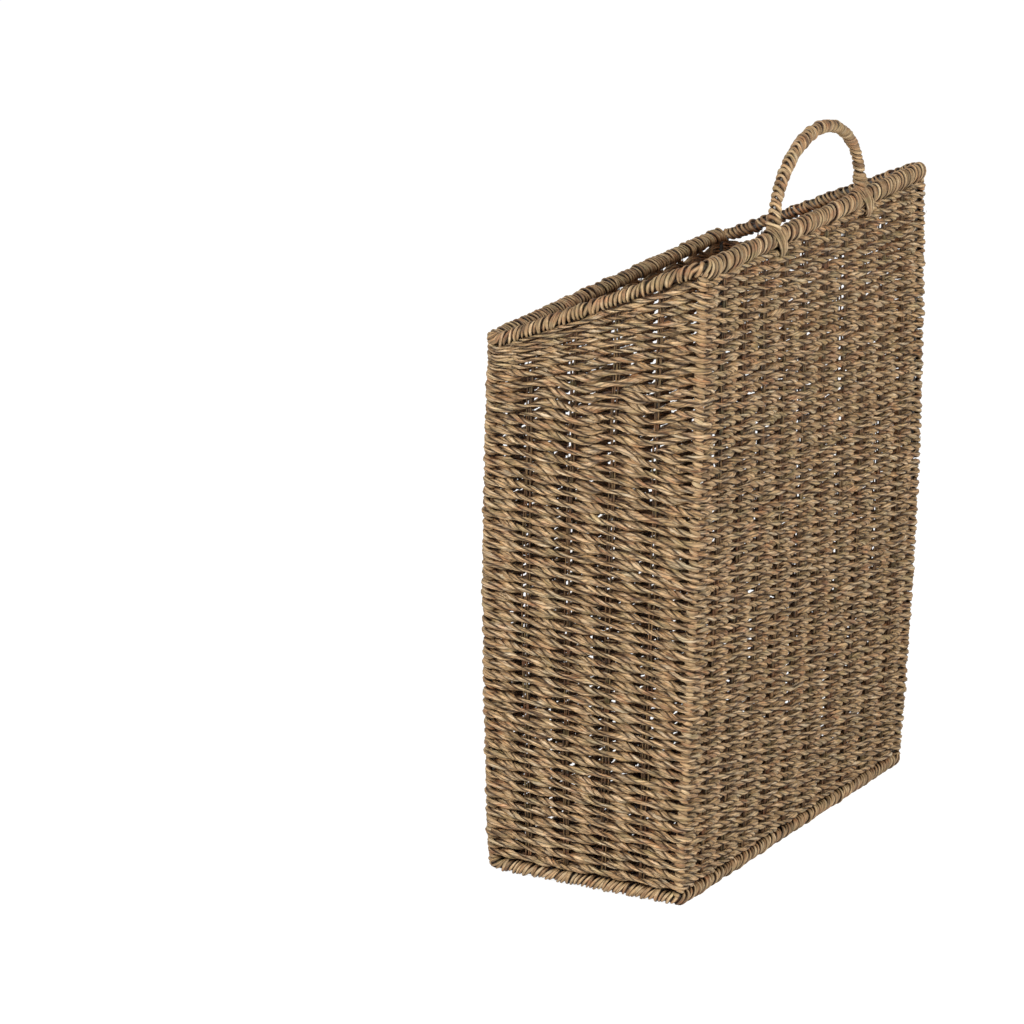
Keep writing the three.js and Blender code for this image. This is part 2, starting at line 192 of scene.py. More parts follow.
def seagrass(name, tones, leaf_length, leaves, crease_shade, groove_shade, back_twist=0.0):
    """Dried seagrass: leaves side by side round a strand, each with its own tone, painted shade in the
    creases between them, fine fibres along them, and painted shade in the groove where a strand meets the
    next one.
    Crease shade is the share of its tone that a leaf keeps in a crease. Groove shade has the parts of a turn
    from the outer side at which the painted shade begins and is full, and its darkness. U runs along a
    strand in metres and V once round it, with 0 facing outwards."""
    material, tree, shader = new_material(name)
    uv = add_node(tree, "ShaderNodeUVMap", {"uv_map": "UVMap"})
    place = add_node(tree, "ShaderNodeSeparateXYZ", links={0: uv.outputs["UV"]})
    along, turn = place.outputs["X"], place.outputs["Y"]
    back, side = leaf_sides(tree, along, turn, leaves, back_twist)
    tan = leaf_tones(tree, along, side, leaves, leaf_length, tones)
    leaf_colour = dried_patches(tree, tan)
    fibres = leaf_fibres(tree, along, back)

    shade = add_node(tree, "ShaderNodeMapRange", {},
                     {"From Min": 0.3, "From Max": 0.7, "To Min": 0.4, "To Max": 1.45}, {"Value": fibres})
    ridge = add_node(tree, "ShaderNodeMath", {"operation": "PINGPONG"}, {1: 0.5}, {0: side})
    # Painted shade: a leaf darkens towards the creases at its edges, and the same crease also shapes the
    # bump relief
    crease_shade_and_relief = add_node(tree, "ShaderNodeMapRange", {"interpolation_type": "SMOOTHSTEP"},
                    {"From Min": 0.02, "From Max": 0.2, "To Min": crease_shade}, {"Value": ridge.outputs[0]})
    fibres_and_crease_shade = add_node(tree, "ShaderNodeMath", {"operation": "MULTIPLY"},
                      links={0: shade.outputs[0], 1: crease_shade_and_relief.outputs[0]})
    fibred = add_node(tree, "ShaderNodeMix", {"data_type": "RGBA", "blend_type": "MULTIPLY"}, {0: 1.0},
                      {6: leaf_colour, 7: fibres_and_crease_shade.outputs[0]})
    # Painted shade: grass on the inner face of a wall, and deep in the wall, is darkened and browned where
    # the shade inside the basket falls
    inner = add_node(tree, "ShaderNodeAttribute", {"attribute_name": "inner"})
    inner_shaded = add_node(tree, "ShaderNodeMix", {"data_type": "RGBA", "blend_type": "MULTIPLY"},
                          {7: linear(INNER_SHADE_TINT)}, {0: inner.outputs["Fac"], 6: fibred.outputs[2]})
    # Painted shade: a strand darkens towards its sides and its inner side, where it meets the next strand
    turned = add_node(tree, "ShaderNodeMath", {"operation": "PINGPONG"}, {1: 0.5}, {0: turn})
    groove_shade_share = add_node(tree, "ShaderNodeMapRange", {"interpolation_type": "SMOOTHSTEP"},
                    {"From Min": groove_shade[0], "From Max": groove_shade[1], "To Max": groove_shade[2]},
                    {"Value": turned.outputs[0]})
    colour = add_node(tree, "ShaderNodeMix", {"data_type": "RGBA"}, {7: linear(GROOVE_SHADE)},
                      {0: groove_shade_share.outputs[0], 6: inner_shaded.outputs[2]})
    tree.links.new(colour.outputs[2], shader.inputs["Base Color"])

    height = add_node(tree, "ShaderNodeMath", {"operation": "ADD"}, links={0: fibres, 1: crease_shade_and_relief.outputs[0]})
    relief = add_node(tree, "ShaderNodeBump", {}, {"Strength": 0.9, "Distance": 0.35 * MM},
                      {"Height": height.outputs[0]})
    tree.links.new(relief.outputs["Normal"], shader.inputs["Normal"])
    shader.inputs["Roughness"].default_value = 0.6
    shader.inputs["Specular IOR Level"].default_value = 0.35
    return material


def drawn_wire():
    """Mild steel wire, drawn and left dull, with a fine grain from the die."""
    material, tree, shader = new_material("drawn_steel_wire")
    place = add_node(tree, "ShaderNodeTexCoord")
    grain = add_node(tree, "ShaderNodeTexNoise", inputs={"Scale": 900.0, "Detail": 3.0},
                     links={"Vector": place.outputs["Object"]})
    tone = add_node(tree, "ShaderNodeValToRGB", links={"Fac": grain.outputs["Fac"]})
    set_ramp(tone, [(0.35, "#3d3a37"), (0.7, "#6a6662")])
    tree.links.new(tone.outputs["Color"], shader.inputs["Base Color"])
    shader.inputs["Metallic"].default_value = 1.0
    shader.inputs["Roughness"].default_value = 0.45
    return material


CORD_TONES = [(0.28, "#543b21"), (0.4, "#8c6d48"), (0.5, "#a88a64"), (0.6, "#ae9472"), (0.72, "#b6a386")]
WRAP_TONES = [(0.28, "#4f3821"), (0.4, "#7e6040"), (0.5, "#967955"), (0.6, "#aa906c"), (0.72, "#bba585")]
# Painted shade: stake tones far darker than the cords', because light hardly reaches inside the wall
SHADED_STAKE_TONES = [(0.3, "#24160a"), (0.5, "#553d23"), (0.7, "#866944")]
# Painted shade: filling tones almost black, because the filling lies deep under the winding
SHADED_FILLING_TONES = [(0.3, "#1c1008"), (0.6, "#33210f")]
# No painted groove shade
NO_GROOVE_SHADE = (0.3, 0.5, 0.0)

# Whole leaves twisted into a cord: a dull tan, with painted shade in deep creases along it and in dark
# grooves at its plies
CORD_GRASS = seagrass("twisted_seagrass_cord", CORD_TONES, leaf_length=30 * MM, leaves=5, crease_shade=0.42,
                      groove_shade=(0.16, 0.36, 0.84), back_twist=-1 / CORD_LAY)
# Leaves laid flat and wound tightly: smoother and browner, with painted shade in faint creases and in dark
# lines between the loops
WRAP_GRASS = seagrass("wound_seagrass_strand", WRAP_TONES, leaf_length=30 * MM, leaves=4, crease_shade=0.65,
                      groove_shade=(0.1, 0.24, 0.93))
# Thin strands inside the wall, which light hardly reaches: dark brown as painted shade, with no groove shade
# that would show
STAKE_GRASS = seagrass("thin_seagrass_strand", SHADED_STAKE_TONES, leaf_length=40 * MM, leaves=3, crease_shade=0.6,
                       groove_shade=NO_GROOVE_SHADE)
# A bundle hidden in a roll, seen only between the loops: almost black as painted shade
FILLING_GRASS = seagrass("seagrass_filling", SHADED_FILLING_TONES, leaf_length=40 * MM, leaves=9, crease_shade=0.6,
                         groove_shade=NO_GROOVE_SHADE)
# Dull dark grey metal
STEEL_WIRE = drawn_wire()


# Places on the walls

def climb(part):
    """A smooth rise from 0 to 1 while the part goes from 0 to 1."""
    part = np.clip(part, 0, 1)
    return part * part * (3 - 2 * part)


def wander(places, length, seed):
    """A smooth wandering between -1 and 1, with about one swing in each length."""
    knots = np.arange(np.floor(places.min() / length) - 1, np.ceil(places.max() / length) + 3)
    values = np.random.default_rng(SEED + seed).uniform(-1, 1, len(knots))
    steps = places / length
    before = np.floor(steps)
    ease = climb(steps - before)
    index = (before - knots[0]).astype(int)
    return values[index] * (1 - ease) + values[index + 1] * ease


def swing(places, reach_and_length, seed):
    """A wandering with its own reach to both sides and its own length."""
    reach, length = reach_and_length
    return reach * wander(places, length, seed)


def level_share(z):
    return (z - BASE_LEVEL) / (BACK_HEIGHT - BASE_LEVEL)


def bulge_at(z):
    return WALL_BULGE * np.sin(np.pi * np.clip(level_share(z), 0, 1))


def half_width_at(z):
    return BASE_HALF_WIDTH + (RIM_HALF_WIDTH - BASE_HALF_WIDTH) * level_share(z) + bulge_at(z)


def half_depth_at(z):
    return BASE_HALF_DEPTH + (RIM_HALF_DEPTH - BASE_HALF_DEPTH) * level_share(z) + bulge_at(z)


# Corners counterclockwise from the front right: sides of X and Y, and the heading out of the arc's middle
CORNERS = [(1, -1, -45), (1, 1, 45), (-1, 1, 135), (-1, -1, 225)]
# The walls that follow those corners
WALLS = ["right", "back", "left", "front"]
WALL_STAKES = [SIDE_STAKES, WIDE_STAKES, SIDE_STAKES, WIDE_STAKES]
ARC_STEPS = 6
# Degrees from a wall's heading to the middle of a corner's arc
HALF_CORNER = 45


def plan_table():
    """The plan, row by row: way round, shares of half width and depth, outward X and Y, and at a stake or
    a corner post the count of those before it."""
    middle = (BACK_HEIGHT + BASE_LEVEL) / 2
    spans = [half_depth_at(middle), half_width_at(middle)] * 2
    half_arc = CORNER_RADIUS * math.pi / 4
    rows = []
    way = 0.0
    stake = 0
    for corner, (x, y, heading) in enumerate(CORNERS):
        next_x, next_y, next_heading = CORNERS[(corner + 1) % 4]
        for step in range(ARC_STEPS + 1):
            turn = math.radians(heading + HALF_CORNER * step / ARC_STEPS)
            post = stake if step == 0 else None
            rows.append((way + half_arc * step / ARC_STEPS, x, y, math.cos(turn), math.sin(turn), post))
        way += half_arc
        span = spans[corner]
        straight = 2 * (span - CORNER_RADIUS)
        count = WALL_STAKES[corner]
        turn = math.radians(heading + HALF_CORNER)
        for index in range(1, count + 1):
            reach = (2 * index / (count + 1) - 1) * span / (span - CORNER_RADIUS)
            share = (reach + 1) / 2
            rows.append((way + straight * share, x + (next_x - x) * share, y + (next_y - y) * share,
                         math.cos(turn), math.sin(turn), stake + index))
        way += straight
        stake += count + 1
        for step in range(ARC_STEPS):
            turn = math.radians(next_heading - HALF_CORNER + HALF_CORNER * step / ARC_STEPS)
            rows.append((way + half_arc * step / ARC_STEPS, next_x, next_y,
                         math.cos(turn), math.sin(turn), None))
        way += half_arc
    rows.append((way,) + rows[0][1:5] + (stake,))
    return rows


PLAN = plan_table()
PLAN_WAY = np.array([row[0] for row in PLAN])
PLAN_COLUMNS = [np.array([row[column] for row in PLAN]) for column in (1, 2, 3, 4)]
STAKE_WAYS = np.array([row[0] for row in PLAN if row[5] is not None])
STAKE_STEPS = np.array([row[5] for row in PLAN if row[5] is not None], float)
ROUND = PLAN_WAY[-1]
CORNER_STEPS = [0, SIDE_STAKES + 1, SIDE_STAKES + WIDE_STAKES + 2, 2 * SIDE_STAKES + WIDE_STAKES + 3]
BACK_LEFT_WAY, FRONT_LEFT_WAY = STAKE_WAYS[CORNER_STEPS[2:]]
CORNER_WAYS = np.append(STAKE_WAYS[CORNER_STEPS], ROUND)
# A corner post makes itself felt this far along the wall
CORNER_REACH = 10 * MM


def stake_step(way):
    """The count of stakes passed at a way round the wall, with parts between stakes."""
    turns = np.floor(way / ROUND)
    return turns * STAKE_STEPS[-1] + np.interp(way - turns * ROUND, STAKE_WAYS, STAKE_STEPS)


def plan_at(way):
    return [np.interp(np.mod(way, ROUND), PLAN_WAY, column) for column in PLAN_COLUMNS]


def wall_points(way, z, out):
    """Points at a way round the wall, a height and a distance out from the wall's middle."""
    share_x, share_y, out_x, out_y = plan_at(way)
    reach = CORNER_RADIUS + out
    x = share_x * (half_width_at(z) - CORNER_RADIUS) + reach * out_x
    y = share_y * (half_depth_at(z) - CORNER_RADIUS) + reach * out_y
    return np.stack([x, y, z], axis=1)


def out_of_wall(way):
    """The level way out of the wall."""
    out_x, out_y = plan_at(way)[2:]
    return np.column_stack([out_x, out_y, np.zeros(len(way))])


def corner_share(way):
    """1 at a corner post and 0 a little way from it."""
    place = np.mod(way, ROUND)
    off = np.min([np.abs(place - corner) for corner in CORNER_WAYS], axis=0)
    return 1 - climb(off / CORNER_REACH)


def depth_share(way):
    """Share of the way from the front wall to the back wall."""
    share_y = plan_at(way)[1]
    return (share_y + 1) / 2


def rim_height(way):
    return FRONT_HEIGHT + (BACK_HEIGHT - FRONT_HEIGHT) * depth_share(way)


def by_wall(way, elsewhere, at_back):
    """A value that goes over to another one where the wall turns to face the back."""
    facing_back = np.maximum(plan_at(way)[3], 0.0)
    return elsewhere + (at_back - elsewhere) * facing_back


# Strands as curves

def profile_curve(name, sides, width=1.0, height=1.0):
    """A closed oval section that strands are drawn with."""
    curve = bpy.data.curves.new(name, "CURVE")
    curve.dimensions = "2D"
    spline = curve.splines.new("POLY")
    spline.points.add(sides - 1)
    turns = [2 * math.pi * side / sides for side in range(sides)]
    corners = [(width * math.cos(turn), height * math.sin(turn)) for turn in turns]
    spline.points.foreach_set("co", [c for x, y in corners for c in (x, y, 0.0, 1.0)])
    spline.use_cyclic_u = True
    section = bpy.data.objects.new(name, curve)
    bpy.context.scene.collection.objects.link(section)
    return section


# A ply is pressed against its neighbour, so its section is wider along their joint
PLY_PROFILE = profile_curve("ply_section", 6, 0.9, 1.15)
THIN_PROFILE = profile_curve("thin_section", 6)
ROUND_PROFILE = profile_curve("round_section", 10)

# A strand takes its tones from this much further along the grass than the strand before it
STRAND_SHIFT = 2.37
# Thin strands share this many such shifts
THIN_SHIFTS = 50
# Painted shade: grass darkens to its shaded inner colour over this depth, from this far outside the wall's
# middle
INNER_SHADE_START = 0.9 * MM
INNER_SHADE_DEPTH = 3 * MM
# The rim is kept free of the painted inner shade down to this height over the rim line, and takes it on over
# this height
RIM_SHADE_EDGE = 2 * MM
RIM_SHADE_FADE = 5 * MM


def swept_mesh(name, runs, profile):
    """One mesh with the section drawn along each run."""
    curve = bpy.data.curves.new(name, "CURVE")
    curve.dimensions = "3D"
    curve.twist_mode = "Z_UP" if "tilts" in runs[0] else "MINIMUM"
    curve.bevel_mode = "OBJECT"
    curve.bevel_object = profile
    for run in runs:
        count = len(run["points"])
        spline = curve.splines.new("POLY")
        spline.points.add(count - 1)
        spline.points.foreach_set("co", np.column_stack([run["points"], np.ones(count)]).ravel())
        spline.points.foreach_set("radius", run["radii"])
        spline.points.foreach_set("tilt", run.get("tilts", np.zeros(count)))
        spline.use_cyclic_u = run.get("loop", False)
    source = bpy.data.objects.new(name + "_line", curve)
    bpy.context.scene.collection.objects.link(source)
    depsgraph = bpy.context.evaluated_depsgraph_get()
    mesh = bpy.data.meshes.new_from_object(source.evaluated_get(depsgraph), depsgraph=depsgraph)
    bpy.data.objects.remove(source)
    bpy.data.curves.remove(curve)
    mesh.name = name
    return mesh


def strands(name, runs, profile, material, nodes):
    """One piece from several strands. A run has points and radii. It may have tilts, ways in which it is
    pressed flat, a place along the grass and a number that shift its tones, and be a closed loop."""
    mesh = swept_mesh(name, runs, profile)
    sides = len(profile.data.splines[0].points)
    press_flat(mesh, runs, sides)
    mark_inner_shade(mesh)
    lay_out_fibres(mesh, runs, sides)
    close_ends(mesh, runs, sides)
    mesh.shade_smooth()
    mesh.materials.clear()
    mesh.materials.append(material)
    piece = bpy.data.objects.new(name, mesh)
    bpy.context.scene.collection.objects.link(piece)
    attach(piece, "root")
    if nodes:
        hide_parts(*nodes)


def mesh_places(mesh):
    places = np.empty(3 * len(mesh.vertices))
    mesh.vertices.foreach_get("co", places)
    return places.reshape(-1, 3)


def press_flat(mesh, runs, sides):
    """Strands that lie on a roll are pressed flat towards its middle, and nothing dips under the foot."""
    places = mesh_places(mesh)
    start = 0
    for run in runs:
        count = len(run["points"])
        end = start + count * sides
        if "press" in run:
            ring = places[start:end].reshape(count, sides, 3)
            centres = np.asarray(run["points"])[:, None, :]
            ways = run["press"][:, None, :]
            flatness = np.broadcast_to(run["flatness"], count)[:, None, None]
            lift = ((ring - centres) * ways).sum(axis=2, keepdims=True)
            run["starts"] = ring[:, 0] - centres[:, 0]
            run["seconds"] = ring[:, 1] - centres[:, 0]
            ring -= (1 - flatness) * lift * ways
            places[start:end] = ring.reshape(-1, 3)
        start = end
    places[:, 2] = np.maximum(places[:, 2], 0.0)
    mesh.vertices.foreach_set("co", places.ravel())


def mark_inner_shade(mesh):
    """Painted shade mask: how far a place is inside the walls, 0 on the outer face and over the rim, 1 on
    the inner face.
    """
    x, y, z = mesh_places(mesh).T
    out = np.maximum(np.abs(x) - half_width_at(z), np.abs(y) - half_depth_at(z))
    depth = (np.clip(y / (RIM_HALF_DEPTH - CORNER_RADIUS), -1, 1) + 1) / 2
    below_rim = FRONT_HEIGHT + (BACK_HEIGHT - FRONT_HEIGHT) * depth + RIM_SHADE_EDGE - z
    share = np.clip((INNER_SHADE_START - out) / INNER_SHADE_DEPTH, 0, 1) * np.clip(below_rim / RIM_SHADE_FADE, 0, 1)
    mesh.attributes.new("inner", "FLOAT", "POINT").data.foreach_set("value", share)


def facing_turns(run):
    """Turns by which a wound strand's first side is off the way that faces out of the roll, and the sense
    in which its sides go round."""
    heading = np.gradient(np.asarray(run["points"]), axis=0)
    heading /= np.linalg.norm(heading, axis=1)[:, None]
    across = np.cross(heading, run["press"])
    angle = np.arctan2((run["starts"] * across).sum(axis=1), (run["starts"] * run["press"]).sum(axis=1))
    angle[0] = angle[1]
    angle[-1] = angle[-2]
    sense = np.sign((np.cross(run["starts"], run["seconds"]) * heading).sum())
    return np.unwrap(angle) / (2 * np.pi), sense


def lay_out_fibres(mesh, runs, sides):
    """UV along each strand in metres, further on for each strand, and once round it."""
    layer = mesh.uv_layers[0]
    layer.name = "UVMap"
    values = np.empty(2 * len(mesh.loops))
    layer.data.foreach_get("uv", values)
    values = values.reshape(-1, 2)
    start = 0
    for index, run in enumerate(runs):
        points = np.asarray(run["points"])
        length = np.linalg.norm(np.diff(points, axis=0), axis=1).sum()
        spans = len(points) if run.get("loop", False) else len(points) - 1
        end = start + 4 * spans * sides
        share = values[start:end, 0]
        if "starts" in run:
            turns, sense = facing_turns(run)
            turned = np.interp(share, np.linspace(0, 1, len(points)), turns)
            values[start:end, 1] = sense * values[start:end, 1] + turned
        shift = STRAND_SHIFT * run.get("number", index)
        values[start:end, 0] = share * length + run.get("along", 0.0) + shift
        start = end
    layer.data.foreach_set("uv", values.ravel())


def close_ends(mesh, runs, sides):
    """The end rings of open strands shrink to a point, so their doubles are merged."""
    body = bmesh.new()
    body.from_mesh(mesh)
    body.verts.ensure_lookup_table()
    ends = []
    start = 0
    for run in runs:
        count = len(run["points"]) * sides
        if not run.get("loop", False):
            ends += body.verts[start:start + sides]
            ends += body.verts[start + count - sides:start + count]
        start += count
    bmesh.ops.remove_doubles(body, verts=ends, dist=0.01 * MM)
    body.to_mesh(mesh)
    body.free()


def pointed(radii):
    """Radii with both ends drawn in to a point."""
    radii = np.array(radii, float)
    radii[0] = 0.0
    radii[-1] = 0.0
    return radii


# Paired row cords

LEVEL_ROWS = 36
FAN_ROWS = 24
# The lowest row clears the foot's roll, and the top row is tucked under the rim's roll
FOOT_GAP = 0.3 * MM
RIM_TUCK = 1.6 * MM
ROW_BOTTOM = 2 * BASE_LEVEL + FOOT_GAP
ROW_TOP = BACK_HEIGHT - BACK_ROLL_HALF + RIM_TUCK
ROW_PITCH = (ROW_TOP - ROW_BOTTOM) / (LEVEL_ROWS + FAN_ROWS)
LEVEL_TOP = ROW_BOTTOM + LEVEL_ROWS * ROW_PITCH

# A ply in its cord, as shares of the cord's radius, and how far its tones lie from the other ply's
PLY_OFFSET_SHARE = 0.43
PLY_SIZE_SHARE = 0.59
PLY_SHIFT = 3.3
# How far a cord goes out of the wall's middle at a stake, and up and down between stakes
PAIR_REACH = 2.35 * MM
PAIR_LIFT = 1.2 * MM
# Shares: further out at a corner post, thinner at a stake, thicker at a post, thinner on the wide walls
CORNER_GAIN = 0.15
STAKE_PINCH = 0.25
CORNER_SWELL = 0.2
WIDE_WALL_PULL = 0.03
# What the maker's hand leaves uneven, each with its reach and its length. Twists are in radians.
LONG_SWELL = (0.18, 21 * MM)
SHORT_SWELL = (0.14, 6 * MM)
REACH_SWING = (0.14, 23 * MM)
SIZE_SWING = (0.15, 29 * MM)
TWIST_SWING = (2.4, 38 * MM)
TWIST_DRIFT = (9.0, 240 * MM)
# A row wanders up and down by itself over two lengths
ROW_WANDER = 0.6 * MM
LONG_WANDER = 61 * MM
SHORT_WANDER = 17 * MM
# Waves that rows share: how many there are round the basket, their length in height, and their start.
# They fade where less than this room is left below the rim or above the foot.
ROW_SWAY = 0.3 * MM
ROW_WAVES = [(3, 150 * MM, 0.4), (5, 95 * MM, 2.1), (9, 70 * MM, 4.4)]
SWAY_ROOM = 30 * MM

CORD_LETTERS = "ab"
CORD_NODES = ["outer_row_cord", "inner_row_cord"]
LEVEL_PARTS = 3


def row_sway(way, z):
    """Neighbouring rows rise and sink together, less so beside the rim and the foot."""
    sway = sum(np.sin(2 * np.pi * (count * way / ROUND + z / length) + start)
               for count, length, start in ROW_WAVES)
    room = np.minimum(z - ROW_BOTTOM, rim_height(way) - ROLL_RADIUS - z)
    return ROW_SWAY * sway * np.clip(room / SWAY_ROOM, 0, 1)


def plies(centre, out, twist, radii, seed, number, places):
    """The two plies of a cord: each circles the cord's middle and leans down to the right from outside."""
    up = np.array((0.0, 0.0, 1.0))
    runs = []
    for ply in (0, 1):
        angle = np.pi * ply - twist
        swell = 1 + swing(places, LONG_SWELL, seed + 40 + ply) + swing(places, SHORT_SWELL, seed + 50 + ply)
        circle = np.cos(angle)[:, None] * out + np.sin(angle)[:, None] * up
        runs.append({"points": centre + (PLY_OFFSET_SHARE * radii)[:, None] * circle,
                     "radii": pointed(PLY_SIZE_SHARE * radii * swell),
                     "tilts": -angle, "along": float(places[0]) + PLY_SHIFT * ply,
                     "number": 2 * number + ply})
    return runs


def paired_cord(way, z, pitch_share, cord, seed, number):
    """One cord of a pair that goes outside one stake and inside the next. It comes out over the other cord
    and goes in under it. It is pinched a little at a stake, swells where it turns round a corner post, and
    is pulled a little thinner along the two wide walls."""
    theta = np.pi * (stake_step(way) + cord)
    corner = corner_share(way)
    reach = PAIR_REACH * (1 + swing(way, REACH_SWING, seed + 1)) * (1 + CORNER_GAIN * corner)
    lift = PAIR_LIFT * pitch_share * np.sin(theta) * np.abs(np.sin(theta))
    drift = wander(way, LONG_WANDER, seed + 2) + wander(way, SHORT_WANDER, seed + 3)
    height = z - lift + ROW_WANDER * drift * pitch_share + row_sway(way, z)
    centre = wall_points(way, height, reach * np.cos(theta))
    out = out_of_wall(way)
    size = 1 + swing(way, SIZE_SWING, seed + 4) - STAKE_PINCH * np.cos(2 * theta) * (1 - corner)
    size = size - WIDE_WALL_PULL * np.abs(out[:, 1])
    radii = CORD_RADIUS * (size + CORNER_SWELL * corner) * np.sqrt(pitch_share)
    twist = 2 * np.pi * way / CORD_LAY
    twist = twist + swing(way, TWIST_SWING, seed + 6) + swing(way, TWIST_DRIFT, seed + 7)
    return plies(centre, out, twist, radii, seed, number, way)


def level_rows():
    """The level rows, one pair of cords that steps up a row on each turn beside the front left corner."""
    first = STAKE_WAYS[CORNER_STEPS[3] + 1] - ROUND
    bounds = np.linspace(first, first + LEVEL_ROWS * ROUND, LEVEL_PARTS + 1)
    for cord in (0, 1):
        for part in range(LEVEL_PARTS):
            way = np.arange(bounds[part], bounds[part + 1] + 2 * CORD_STEP, CORD_STEP)
            stake = stake_step(way)
            turn = np.floor(stake / STAKE_STEPS[-1])
            row = turn + climb(stake - turn * STAKE_STEPS[-1] - CORNER_STEPS[3])
            z = ROW_BOTTOM + (row + 0.5) * ROW_PITCH
            runs = paired_cord(way, z, np.ones(len(way)), cord, 100 * cord, cord)
            strands(f"row_cord_{CORD_LETTERS[cord]}_{part + 1}", runs, PLY_PROFILE, CORD_GRASS,
                    [CORD_NODES[cord]])


# The top row hangs loose on the left wall, dips along the front, and each row below follows by a share
LOOSE_DROP = 7.5 * MM
LOOSE_START = 25 * MM
FRONT_DIP = 6 * MM
FRONT_DIP_LENGTH = 36 * MM
DROP_PASSED_ON = 0.6
# The rows right under the rim crowd together towards the front, down to this share of their room
CROWDED_ROWS = 6
CROWDED_SHARE = 0.4
# Rows that end on the side walls, counted from the rim down, each with its share of the walls' depth.
# They fade over a share of the depth, and end where they would have less than the least share of a row.
SHORT_ROWS = {7: 0.27, 9: 0.62, 12: 0.1, 15: 0.8, 18: 0.45, 21: 0.93}
FADE_SHARE = 0.16
LEAST_SHARE = 0.03
# A row's ends overlap, at a place on the front wall that differs by up to this many millimetres
ROW_OVERLAP = 26 * MM
START_SPREAD = 60
FAN_PARTS = 2
FAN_SEED = 300


def top_row_drop(way):
    place = np.mod(way, ROUND)
    left = climb(np.minimum(place - BACK_LEFT_WAY, FRONT_LEFT_WAY - place) / LOOSE_START)
    front = climb(np.minimum(place - FRONT_LEFT_WAY, ROUND - place) / LOOSE_START)
    dips = 0.5 + 0.5 * np.sin(2 * np.pi * place / FRONT_DIP_LENGTH)
    return LOOSE_DROP * left + FRONT_DIP * front * dips


def fan_weights(way):
    """The room that each fan row takes at a way round the wall, as shares of a level row's room."""
    depth = depth_share(way)
    weights = np.ones((FAN_ROWS, len(way)))
    weights[:CROWDED_ROWS] = CROWDED_SHARE + (1 - CROWDED_SHARE) * depth
    for row, ending in SHORT_ROWS.items():
        weights[row] = climb((depth - ending) / FADE_SHARE)
    return weights


def fan_rows():
    """Rows that lift the sides to the sloping rim: they share out the room between it and the level rows."""
    front_room = FRONT_HEIGHT - ROLL_RADIUS + RIM_TUCK - LEVEL_TOP
    back_room = ROW_TOP - LEVEL_TOP
    rng = np.random.default_rng(SEED + FAN_SEED)
    for cord in (0, 1):
        runs = []
        for row in range(FAN_ROWS):
            start = -ROUND / 4 + rng.uniform(-START_SPREAD, START_SPREAD) * MM
            way = np.arange(start, start + ROUND + ROW_OVERLAP, CORD_STEP)
            weights = fan_weights(way)
            kept = weights[row] > LEAST_SHARE
            way, weights = way[kept], weights[:, kept]
            room = front_room + (back_room - front_room) * depth_share(way)
            spacing = room / weights.sum(axis=0)
            above = weights[:row].sum(axis=0) + weights[row] / 2
            z = LEVEL_TOP + room - spacing * above - top_row_drop(way) * DROP_PASSED_ON ** row
            share = weights[row] * spacing / ROW_PITCH
            runs += paired_cord(way, z, share, cord, FAN_SEED + 10 * row + 200 * cord, 10 + row)
        size = len(runs) // FAN_PARTS
        for part in range(FAN_PARTS):
            strands(f"fan_cord_{CORD_LETTERS[cord]}_{part + 1}", runs[part * size:(part + 1) * size],
                    PLY_PROFILE, CORD_GRASS, [CORD_NODES[cord]])


# Stakes

STAKE_STRANDS = 3
STAKE_STRAND_RADIUS = 0.7 * MM
STAKE_STRAND_SPACING = 2.0 * MM
STAKE_STEP = 6 * MM
# Stakes end inside the rolls: this far below the rim wire and the lowest row, and short of the base wire
STAKE_TUCK = 2 * MM
STAKE_SWAY = (1.3 * MM, 33 * MM)
STAKE_SWELL = (0.4, 30 * MM)
STAKE_LEAN = (0.3 * MM, 25 * MM)
STAKE_SEED = 1000


def node_names(stem, count):
    return [f"{stem}_{index + 1}" for index in range(count)]


def strand_shift(strand):
    """How far a strand lies beside the middle of its stake."""
    return (strand - (STAKE_STRANDS - 1) / 2) * STAKE_STRAND_SPACING


def wall_stakes(wall, corner, count):
    """Bundles of thin strands up the wall that follows a corner post, side by side in the wall's middle."""
    runs = []
    for stake in range(corner + 1, corner + 1 + count):
        top = float(rim_height(STAKE_WAYS[stake:stake + 1])[0]) - STAKE_TUCK
        z = np.arange(ROW_BOTTOM - STAKE_TUCK, top, STAKE_STEP)
        for strand in range(STAKE_STRANDS):
            seed = STAKE_SEED + 10 * stake + strand
            way = STAKE_WAYS[stake] + strand_shift(strand) + swing(z, STAKE_SWAY, seed)
            radii = STAKE_STRAND_RADIUS * (1 + swing(z, STAKE_SWELL, seed + 5))
            runs.append({"points": wall_points(way, z, swing(z, STAKE_LEAN, seed + 7)),
                         "radii": pointed(radii), "number": seed % THIN_SHIFTS})
    strands(f"{wall}_stakes", runs, THIN_PROFILE, STAKE_GRASS,
            node_names(f"{wall}_stake", count))


# Floor

# How far a cord goes over or under a stake of the floor, and to both sides between stakes
FLOOR_REACH = 2.2 * MM
FLOOR_LIFT = 1.7 * MM
# The cords lie this much over the middle of the floor's stakes, so that they clear the ground
FLOOR_RAISE = 0.4 * MM
FLOOR_CORD_SHARE = 0.95
FLOOR_STAKE_SWAY = (0.4 * MM, 30 * MM)
FLOOR_DRIFT = (0.5 * ROW_WANDER, 50 * MM)
FLOOR_SWELL = (0.08, 30 * MM)
FLOOR_TWIST = (1.5, 45 * MM)
# Each floor row swells as a row this much further along the grass
FLOOR_ROW_SHIFT = 0.4
FLOOR_NODES = ["floor_upper_cord", "floor_lower_cord"]
FLOOR_STAKE_SEED = 2000
FLOOR_ROW_SEED = 3000


